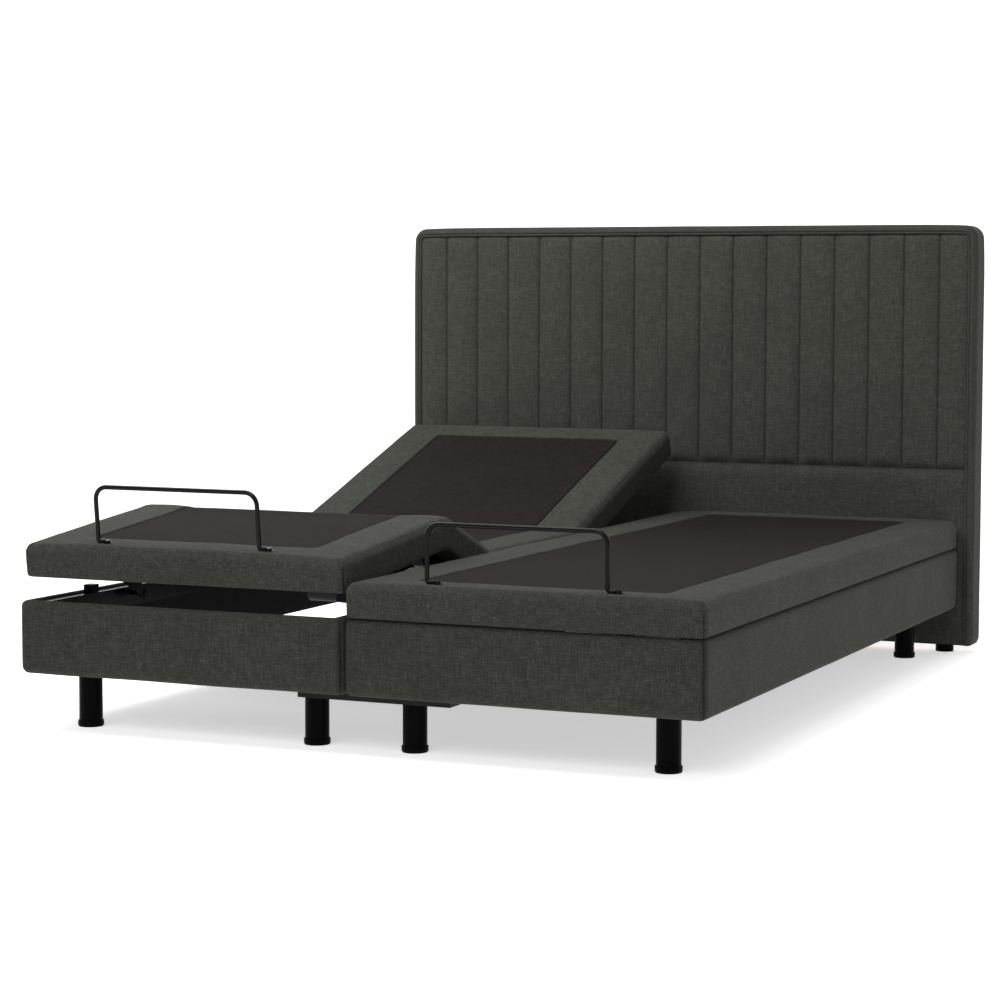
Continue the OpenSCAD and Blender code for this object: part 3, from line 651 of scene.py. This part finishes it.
for side, tag in UNITS:
    spans = (
        ("foot", deck_y0, thigh_split, [knee_y], (True, False)),
        ("middle", thigh_split, seat_split, [thigh_y], (False, False)),
        ("head", seat_split, deck_y1, [head_y], (False, True)),
    )
    for part, y0, y1, folds, ends in spans:
        for kind, build, node in (("cover", cover, "deck"), ("field", field, "panel")):
            obj = build(side, f"{tag}{part}_{kind}", y0, y1, folds, ends)
            if part == "foot":
                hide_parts(tag + "foot_" + node)
                crossing(obj)
            elif part == "middle":
                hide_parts(tag + "thigh_" + node, tag + "seat_" + node)
                crossing(obj)
            else:
                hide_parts(tag + "head_" + node)
                crossing(obj)


# ---------------------------------------------------------------- upholstered base rails
def frame_loop(inset, half_x, y0, y1, radius, n_side, n_corner):
    """A rounded rectangle, drawn inset from the outline; every inset gives the same number of points."""
    r = max(radius - inset, 0.003)
    a, lo, hi = half_x - inset, y0 + inset, y1 - inset
    pts = []
    corners = [(a - r, hi - r, 0), (-a + r, hi - r, 90), (-a + r, lo + r, 180), (a - r, lo + r, 270)]
    for c, (cx, cy, start) in enumerate(corners):
        pts += arc(cx, cy, r, start, start + 90, n_corner)
        nx, ny, _ = corners[(c + 1) % 4]
        ax, ay = pts[-1]
        bx, by = arc(nx, ny, r, start + 90, start + 90, 1)[0]
        count = n_side[c % 2]
        pts += [(ax + (bx - ax) * k / count, ay + (by - ay) * k / count) for k in range(1, count)]
    return np.array(pts)


def rail_cover(side, name):
    """The base's upholstered surround: outside, rounded top, inside and bottom edge in one closed piece."""
    thick, low_r, top_r, inner_r, hem_r = 0.024, 0.015, 0.013, 0.007, 0.004
    h0, h1 = rail_low, rail_high
    prof = [(0.0, z) for z in np.linspace(h0 + low_r, h1 - top_r, 11)]
    prof += arc(top_r, h1 - top_r, top_r, 180, 90, 6)[1:]
    prof += arc(thick - inner_r, h1 - inner_r, inner_r, 90, 0, 4)
    lining_start = len(prof) - 1
    prof += [(thick, z) for z in np.linspace(h1 - 0.03, h0 + 0.02, 4)]
    prof += arc(thick - hem_r, h0 + hem_r, hem_r, 0, -90, 3)
    lining_end = len(prof) - 1
    prof += arc(low_r, h0 + low_r, low_r, 270, 180, 6)[:-1]

    corner_r = 0.019
    plan = (rail_out, rail_y[0], rail_y[1], corner_r, (64, 150), 10)
    outer = frame_loop(0.0, *plan)
    tangent = np.roll(outer, -1, 0) - np.roll(outer, 1, 0)
    tangent /= np.linalg.norm(tangent, axis=1)[:, None]
    out = np.stack([tangent[:, 1], -tangent[:, 0]], 1)
    bite = (1 - math.sqrt(0.5)) * corner_r  # from a square corner to the middle of the round one, along X and Y
    corner_ys = (rail_y[0] + bite, rail_y[1] - bite)
    to_corner = np.array([min(np.hypot(abs(x) - rail_out + bite, y - cy) for cy in corner_ys) for x, y in outer])

    seed = 21.0 if side > 0 else 34.0
    side_limit, end_limit = 0.0009, 0.01  # the sides stay nearly flat because the units stand close together
    outer_face = 0.004  # profile points this near the outline swell and ripple with it
    verts, seam_shades = [], []
    for o, z in prof:
        ring = frame_loop(o, *plan)
        p = np.stack([ring[:, 0], ring[:, 1], np.full(len(ring), z)], 1)
        level = (z - h0) / (h1 - h0)
        outside = 1.0 if o < outer_face else 0.0
        waves = 0.0009 * ripple(p, 0.14, seed) + 0.0004 * ripple(p, 0.045, seed + 5)
        amount = outside * (0.0014 * math.sin(math.pi * level) + waves)
        amount = np.minimum(amount, np.where(np.abs(out[:, 0]) > 0.5, side_limit, end_limit))
        pinch = line_at(to_corner, 0.0034) * outside
        amount = amount - 0.0016 * pinch
        p[:, 0] += out[:, 0] * amount
        p[:, 1] += out[:, 1] * amount
        edge_wave = 0.0010 * ripple(p * [1, 1, 0], 0.18, seed + 7)
        if level > 0.9:
            p[:, 2] += 0.2 * edge_wave + 0.0005
        elif level < 0.1:
            p[:, 2] += 0.8 * edge_wave
        verts.append(p)
        # The pinched corner seams are darkened with painted shade.
        seam_shades.append(pinch * 0.8)
    n, m = len(verts[0]), len(verts)
    p = np.concatenate(verts)
    # The inside and the bottom hem take the black backing cloth. On the inside, its black is painted shade.
    face_mat = np.repeat([1 if lining_start <= k <= lining_end else 0 for k in range(m)], n)
    weave_shift = 5.0
    obj = make(
        name, p + [side * unit_x, 0, 0], ring_quads(n, m, True), p + [side * weave_shift, 0, 0],
        np.concatenate(seam_shades), (MAT["base_fabric"], MAT["backing"]), face_mat)
    return obj


for side, tag in UNITS:
    obj = rail_cover(side, tag + "rail_cover")
    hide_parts(tag + "side_rails", tag + "end_rails")
    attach(obj, "base")


# ---------------------------------------------------------------- headboard
hb_low, hb_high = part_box("headboard_border")
pad_low, pad_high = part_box("headboard_channel_pad")
band_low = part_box("headboard_lower_pad")[0]
hb_half = hb_high.x
front_y, back_y = hb_low.y, hb_high.y
panel_half = pad_high.x
channel_low, channel_high = pad_low.z, pad_high.z
CHANNEL_WIDTH, FIRST_SEAM, SEAM_COUNT = 0.0975, -0.7304, 16
seam_xs = [FIRST_SEAM + CHANNEL_WIDTH * i for i in range(SEAM_COUNT)]


def open_loop(inset, n_side, n_top, n_corner):
    """The headboard's outline without its bottom, drawn inset from the outside, from the left foot over the top."""
    r = max(0.034 - inset, 0.006)
    a, top, base = hb_half - inset, hb_high.z - inset, hb_low.z
    turns = [math.radians(90 * k / n_corner) for k in range(n_corner)]
    pts = [(-a, base + (top - r - base) * k / n_side) for k in range(n_side)]
    pts += [(-a + r - r * math.cos(t), top - r + r * math.sin(t)) for t in turns]
    pts += [(-a + r + 2 * (a - r) * k / n_top, top) for k in range(n_top)]
    pts += [(a - r + r * math.sin(t), top - r + r * math.cos(t)) for t in turns]
    pts += [(a, top - r - (top - r - base) * k / n_side) for k in range(n_side + 1)]
    pts = np.array(pts)

    # Stuffing is thinner towards the corners, so both edges drop a little there.
    drop, reach = 0.004, 0.16
    near_x = np.clip((np.abs(pts[:, 0]) - hb_half + reach) / reach, 0, 1)
    near_z = np.clip((pts[:, 1] - hb_high.z + reach) / reach, 0, 1)
    amount = drop * near_x ** 2 * near_z ** 2
    pts[:, 1] -= amount
    pts[:, 0] -= np.sign(pts[:, 0]) * amount
    return pts


def headboard_border():
    """The padded frame around the face, carried round the sides to the back."""
    wide = hb_half - panel_half
    front_r, back_r, inner_r = 0.015, 0.008, 0.007
    prof = arc(front_r, front_y + front_r, front_r, 270, 180, 6)
    prof += [(0.0, y) for y in np.linspace(front_y + 0.022, back_y - 0.012, 6)]
    prof += arc(back_r, back_y - back_r, back_r, 180, 90, 4)
    prof += [(wide, back_y), (wide, back_y - 0.02), (wide, front_y + 0.02)]
    prof += arc(wide - inner_r, front_y + inner_r, inner_r, 0, -90, 4)
    loop = (90, 130, 12)
    outer = open_loop(0.0, *loop)
    side_on = np.abs(outer[:, 0]) > hb_half - 0.02
    fold_height, fold_in = 0.02, 0.006  # the cover turns in at the bottom of each side
    outer_face = 0.004  # profile points this near the outline ripple with it
    verts, seam_shades = [], []
    for o, y in prof:
        ring = open_loop(o, *loop)
        rise = np.clip((ring[:, 1] - hb_low.z) / fold_height, 0, 1)
        curl = fold_in * (1 - np.sqrt(np.clip(1 - (1 - rise) ** 2, 0, 1))) * max(0.0, 1 - o / fold_height)
        p = np.stack([ring[:, 0] - np.sign(ring[:, 0]) * curl, np.full(len(ring), y), ring[:, 1]], 1)
        on_front = 1.0 if y < front_y + 0.012 else 0.0
        bulge = 0.0025 * math.sin(math.pi * min(o / wide, 1.0))
        p[:, 1] -= on_front * (bulge + 0.0004 * ripple(p, 0.12, 51.0))
        # Painted shade darkens the front along the border's inner edge, where it meets the padded face.
        seam_shades.append(np.full(len(ring), on_front * line_at(wide - o, 0.0035)))
        if o < outer_face:
            wave = 0.0006 * ripple(p, 0.15, 57.0)
            p[:, 0] += np.where(side_on, np.sign(outer[:, 0]) * wave, 0)
            p[:, 2] += np.where(side_on, 0, wave)
        verts.append(p)
    n, m = len(verts[0]), len(verts)
    p = np.concatenate(verts)
    quads = [tuple(q) for q in ring_quads(n, m, False)]
    caps = [tuple(k * n for k in range(m)), tuple(k * n + n - 1 for k in range(m))[::-1]]
    obj = make("headboard_edge_cover", p, quads + caps, p, np.concatenate(seam_shades), (MAT["headboard_fabric"],))
    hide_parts("headboard_border")
    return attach(obj, "base")


def channel_relief(flat, ends):
    """How far back the sewn channels' face lies, and how much painted shade darkens their seams."""
    x, _, z = flat.T
    depth, seam_y, seam_width = 0.011, 0.008, 0.0024
    walls = np.array([-panel_half] + seam_xs + [panel_half])
    k = np.clip(np.searchsorted(walls, x, side="right") - 1, 0, len(walls) - 2)
    across = np.clip((x - walls[k]) / (walls[k + 1] - walls[k]), 0, 1)
    away = np.minimum(x - walls[k], walls[k + 1] - x)
    dome = (1 - (2 * across - 1) ** 2) ** 0.55
    finish = smooth(np.clip(ends / 0.022, 0, 1)) ** 0.6
    uneven = 0.94 + 0.06 * ripple(np.stack([k * 3.7, 0 * z, z / 0.3], 1), 1.0, 60.0)
    pull = line_at(away, 0.012) * 0.0007 * ripple(flat * [0.2, 0, 1], 0.022, 71.0)
    back = seam_y - depth * dome * finish * uneven + pull + 0.0007 * ripple(flat, 0.09, 75.0)
    return back, np.maximum(line_at(away, seam_width) * 0.85, line_at(ends, 0.003) * 0.6)


def band_relief(flat, ends):
    """How far back the plain band's face lies, and how much painted shade darkens its seams."""
    side_edge = panel_half - np.abs(flat[:, 0])
    crown = smooth(np.clip(np.minimum(side_edge, ends) / 0.03, 0, 1))
    back = 0.005 - 0.006 * crown + 0.0008 * ripple(flat, 0.25, 83.0) + 0.0003 * ripple(flat, 0.06, 86.0)
    return back, line_at(ends, 0.003) * 0.6


def headboard_pad(name, z0, z1, node, relief, dense):
    """One padded face of the headboard, with the given relief."""
    depth, rim = 0.020, 0.012
    xs = rim_lines(-panel_half, panel_half, 0.012, rim, 5, dense)
    zs = rim_lines(z0, z1, 0.010, rim, 5)
    ys = np.array([front_y, front_y + 0.5 * depth, front_y + depth])
    flat, quads, _ = slab_grid(xs, ys, zs)
    face = flat[:, 1] < front_y + ON_FACE
    ends = np.minimum(flat[:, 2] - z0, z1 - flat[:, 2])
    back, seam = relief(flat, ends)
    p = flat.copy()
    p[:, 1] = np.where(face, front_y + back, p[:, 1])
    weave_shift = 7.0
    obj = make(
        name, p, quads, flat + [0, weave_shift, 0], np.where(face, seam, 0), (MAT["headboard_fabric"],))
    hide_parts(node)
    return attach(obj, "base")


def headboard_piping():
    """The thin cord sewn in between the border and the padded face."""
    radius, sides = 0.0032, 10
    line = open_loop(hb_half - panel_half, 120, 140, 6)
    path = np.stack([line[:, 0], np.full(len(line), front_y + 0.0022), line[:, 1]], 1)
    ahead = np.gradient(path, axis=0)
    ahead /= np.linalg.norm(ahead, axis=1)[:, None]
    to_front = np.array([0.0, -1.0, 0.0])
    verts = []
    for c, t in zip(path, ahead):
        u = np.cross(t, to_front)
        u /= np.linalg.norm(u)
        v = np.cross(u, t)
        for k in range(sides):
            a = 2 * math.pi * k / sides
            verts.append(c + radius * (math.cos(a) * u + math.sin(a) * v))
    last = (len(path) - 1) * sides
    quads = []
    for i in range(0, last, sides):
        for k in range(sides):
            a, b = i + k, i + (k + 1) % sides
            quads.append((a, b, b + sides, a + sides))
    caps = [tuple(range(sides))[::-1], tuple(range(last, last + sides))]
    obj = make("headboard_piping", verts, quads + caps, verts, np.zeros(len(verts)), (MAT["headboard_fabric"],))
    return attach(obj, "base")


def headboard_back():
    """The dark cloth stapled over the back."""
    low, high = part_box("headboard_back")
    step, rim, r = 0.03, 0.01, 0.012
    xs = rim_lines(low.x, high.x, step, rim, 4)
    zs = rim_lines(low.z, high.z, step, rim, 4)
    flat, quads, _ = slab_grid(xs, np.array([low.y, high.y]), zs)
    x, y, z = flat.T
    p = flat.copy()
    across = np.clip((np.abs(x) - high.x + r) / r, 0, 1)
    up = np.clip((z - high.z + r) / r, 0, 1)
    dx, dz = corner_shift(across, up)
    p[:, 0] += np.sign(x) * dx * r
    p[:, 2] += dz * r
    to_edge = np.minimum(high.x - np.abs(x), np.minimum(z - low.z, high.z - z))
    outside = y > high.y - ON_FACE
    slack = smooth(np.clip(to_edge / 0.05, 0, 1))
    p[:, 1] -= np.where(outside, (0.0022 + 0.001 * ripple(flat, 0.11, 91.0)) * slack, 0)
    # The cloth is darkened along a line 12 mm inside its edge.
    seam = np.where(outside, line_at(to_edge - 0.012, 0.003), 0)
    weave_shift = 9.0
    obj = make("headboard_back_cloth", p, quads, flat + [0, weave_shift, 0], seam, (MAT["backing"],))
    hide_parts("headboard_back")
    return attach(obj, "base")


headboard_border()
beside_seams = [(x, 0.010, 0.0030) for x in seam_xs]
coarse_middle = [(0.0, 0.0, 0.02)]
headboard_pad(
    "headboard_channels", channel_low, channel_high, "headboard_channel_pad", channel_relief, beside_seams)
headboard_pad("headboard_band", band_low.z, channel_low, "headboard_lower_pad", band_relief, coarse_middle)
headboard_piping()
headboard_back()


# ---------------------------------------------------------------- floor, light and camera
def backdrop():
    """A pale floor that curves up behind the object."""
    near, far, r, top, half_width = -14.0, 6.0, 4.0, 14.0, 22.0
    bends = [math.radians(a) for a in range(6, 91, 6)]
    prof = [(near, 0.0), (far, 0.0)]
    prof += [(far + r * math.sin(a), r - r * math.cos(a)) for a in bends]
    prof += [(far + r, top)]
    verts = [(x, y, z) for y, z in prof for x in (-half_width, half_width)]
    faces = [(2 * k, 2 * k + 1, 2 * k + 3, 2 * k + 2) for k in range(len(prof) - 1)]
    mesh = bpy.data.meshes.new("floor")
    mesh.from_pydata(verts, [], faces)
    mesh.polygons.foreach_set("use_smooth", [True] * len(mesh.polygons))
    m, _, bsdf = node_tree("pale_floor")
    bsdf.inputs["Base Color"].default_value = (0.86, 0.86, 0.86, 1)
    bsdf.inputs["Roughness"].default_value = 0.9
    bsdf.inputs["Specular IOR Level"].default_value = 0.1
    bsdf.inputs["Emission Color"].default_value = (1, 1, 1, 1)
    bsdf.inputs["Emission Strength"].default_value = 0.56
    mesh.materials.append(m)
    obj = bpy.data.objects.new("floor", mesh)
    scene.collection.objects.link(obj)


def lamp(name, kind, aim):
    """A lamp that shines along aim, with its object."""
    light = bpy.data.lights.new(name, kind)
    obj = bpy.data.objects.new(name, light)
    scene.collection.objects.link(obj)
    obj.rotation_euler = Vector(aim).to_track_quat("-Z", "Y").to_euler()
    return light, obj


def studio():
    """Soft light from the front and above, an even surrounding glow and plain colours."""
    key, _ = lamp("key_light", "SUN", (0.02, 0.74, -0.66))
    key.energy, key.angle = 0.95, math.radians(30)
    place, target = Vector((-0.8, -0.75, 2.7)), Vector((-0.2, 1.0, 0.65))
    top_light, obj = lamp("top_light", "AREA", target - place)
    obj.location = place
    top_light.shape = "RECTANGLE"
    top_light.size, top_light.size_y = 3.2, 1.4
    top_light.energy = 96
    world = bpy.data.worlds.new("studio")
    scene.world = world
    world.use_nodes = True
    glow = world.node_tree.nodes["Background"].inputs
    glow[0].default_value = (1, 1, 1, 1)
    glow[1].default_value = 0.35
    scene.view_settings.view_transform = "Standard"


def camera():
    """The view over the foot end, from the right."""
    data = bpy.data.cameras.new("camera")
    cam = bpy.data.objects.new("camera", data)
    scene.collection.objects.link(cam)
    place = (2.430, -5.683, 0.946)
    yaw, pitch, roll = math.radians(22.537), math.radians(4.076), math.radians(0.277)
    ahead = Vector((-math.sin(yaw) * math.cos(pitch), math.cos(yaw) * math.cos(pitch), -math.sin(pitch)))
    level = Vector((math.cos(yaw), math.sin(yaw), 0))
    upright = level.cross(ahead)
    right = level * math.cos(roll) + upright * math.sin(roll)
    up = upright * math.cos(roll) - level * math.sin(roll)
    rows = [(right[i], up[i], -ahead[i], place[i]) for i in range(3)]
    cam.matrix_world = Matrix((*rows, (0, 0, 0, 1)))
    data.sensor_width = 36.0
    data.lens = 90.87
    data.shift_x, data.shift_y = -0.0716, -0.0191
    data.clip_end = 100.0
    scene.camera = cam


backdrop()
studio()
camera()

bpy.context.view_layer.update()
